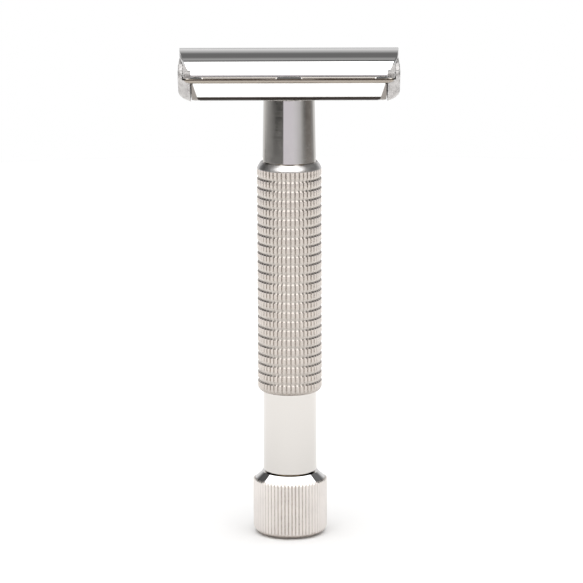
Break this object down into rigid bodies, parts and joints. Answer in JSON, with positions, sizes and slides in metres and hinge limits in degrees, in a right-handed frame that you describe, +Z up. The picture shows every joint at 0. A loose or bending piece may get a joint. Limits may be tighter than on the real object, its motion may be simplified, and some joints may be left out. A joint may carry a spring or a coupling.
{
  "type": "safety razor",
  "caption": "Twist-to-open double-edge safety razor with butterfly doors, a guard tray with safety bars, a knurled grip and a fluted twist knob.",
  "frame": {"origin": "centre of the knob's flat end, on the surface the razor stands on", "axes": "+Z up the handle to the head, +X along the blade's edges, -Y to the front door"},
  "size_m": [0.0446, 0.025, 0.1015],
  "materials": {
    "polished_metal": "mirror polished plate",
    "satin_metal": "fine satin turned plate",
    "steel": "plain turned steel",
    "blade_steel": "ground stainless strip",
    "brass": "plain turned brass"
  },
  "bodies": {
    "handle": {"handle_tube": "satin_metal", "grip_sleeve": "satin_metal", "guard_tray": "polished_metal", "tray_washer": "polished_metal", "tray_ferrule": "brass"},
    "knob": {"twist_knob": "satin_metal", "knob_end_plug": "polished_metal", "drive_nut": "brass", "spring_washer": "steel", "thrust_washer": "brass", "retaining_ring": "steel"},
    "head_carrier": {"spindle": "steel", "spindle_nut": "brass", "crossbar": "polished_metal", "left_end_cap": "polished_metal", "right_end_cap": "polished_metal", "front_left_hinge_pin": "steel", "front_right_hinge_pin": "steel", "rear_left_hinge_pin": "steel", "rear_right_hinge_pin": "steel", "razor_blade": "blade_steel"},
    "front_door_body": {"front_door": "polished_metal"},
    "rear_door_body": {"rear_door": "polished_metal"}
  },
  "joints": [
    {"name": "knob_turn", "type": "hinge", "parent": "handle", "child": "knob", "pos_m": [0, 0, 0.0067], "axis": [0, 0, -1], "range_deg": [0, 540]},
    {"name": "head_lift", "type": "slide", "parent": "handle", "child": "head_carrier", "axis": [0, 0, 1], "range_m": [0, 0.004]},
    {"name": "front_door_swing", "type": "hinge", "parent": "head_carrier", "child": "front_door_body", "pos_m": [0, -0.0104, 0.0976], "axis": [1, 0, 0], "range_deg": [0, 80]},
    {"name": "rear_door_swing", "type": "hinge", "parent": "head_carrier", "child": "rear_door_body", "pos_m": [0, 0.0104, 0.0976], "axis": [-1, 0, 0], "range_deg": [0, 80]}
  ],
  "couplings": [
    {"joint": "knob_turn", "follows": "head_lift", "rad_per_m": 2356.2},
    {"joint": "front_door_swing", "follows": "head_lift", "rad_per_m": 349.06},
    {"joint": "rear_door_swing", "follows": "head_lift", "rad_per_m": 349.06}
  ]
}
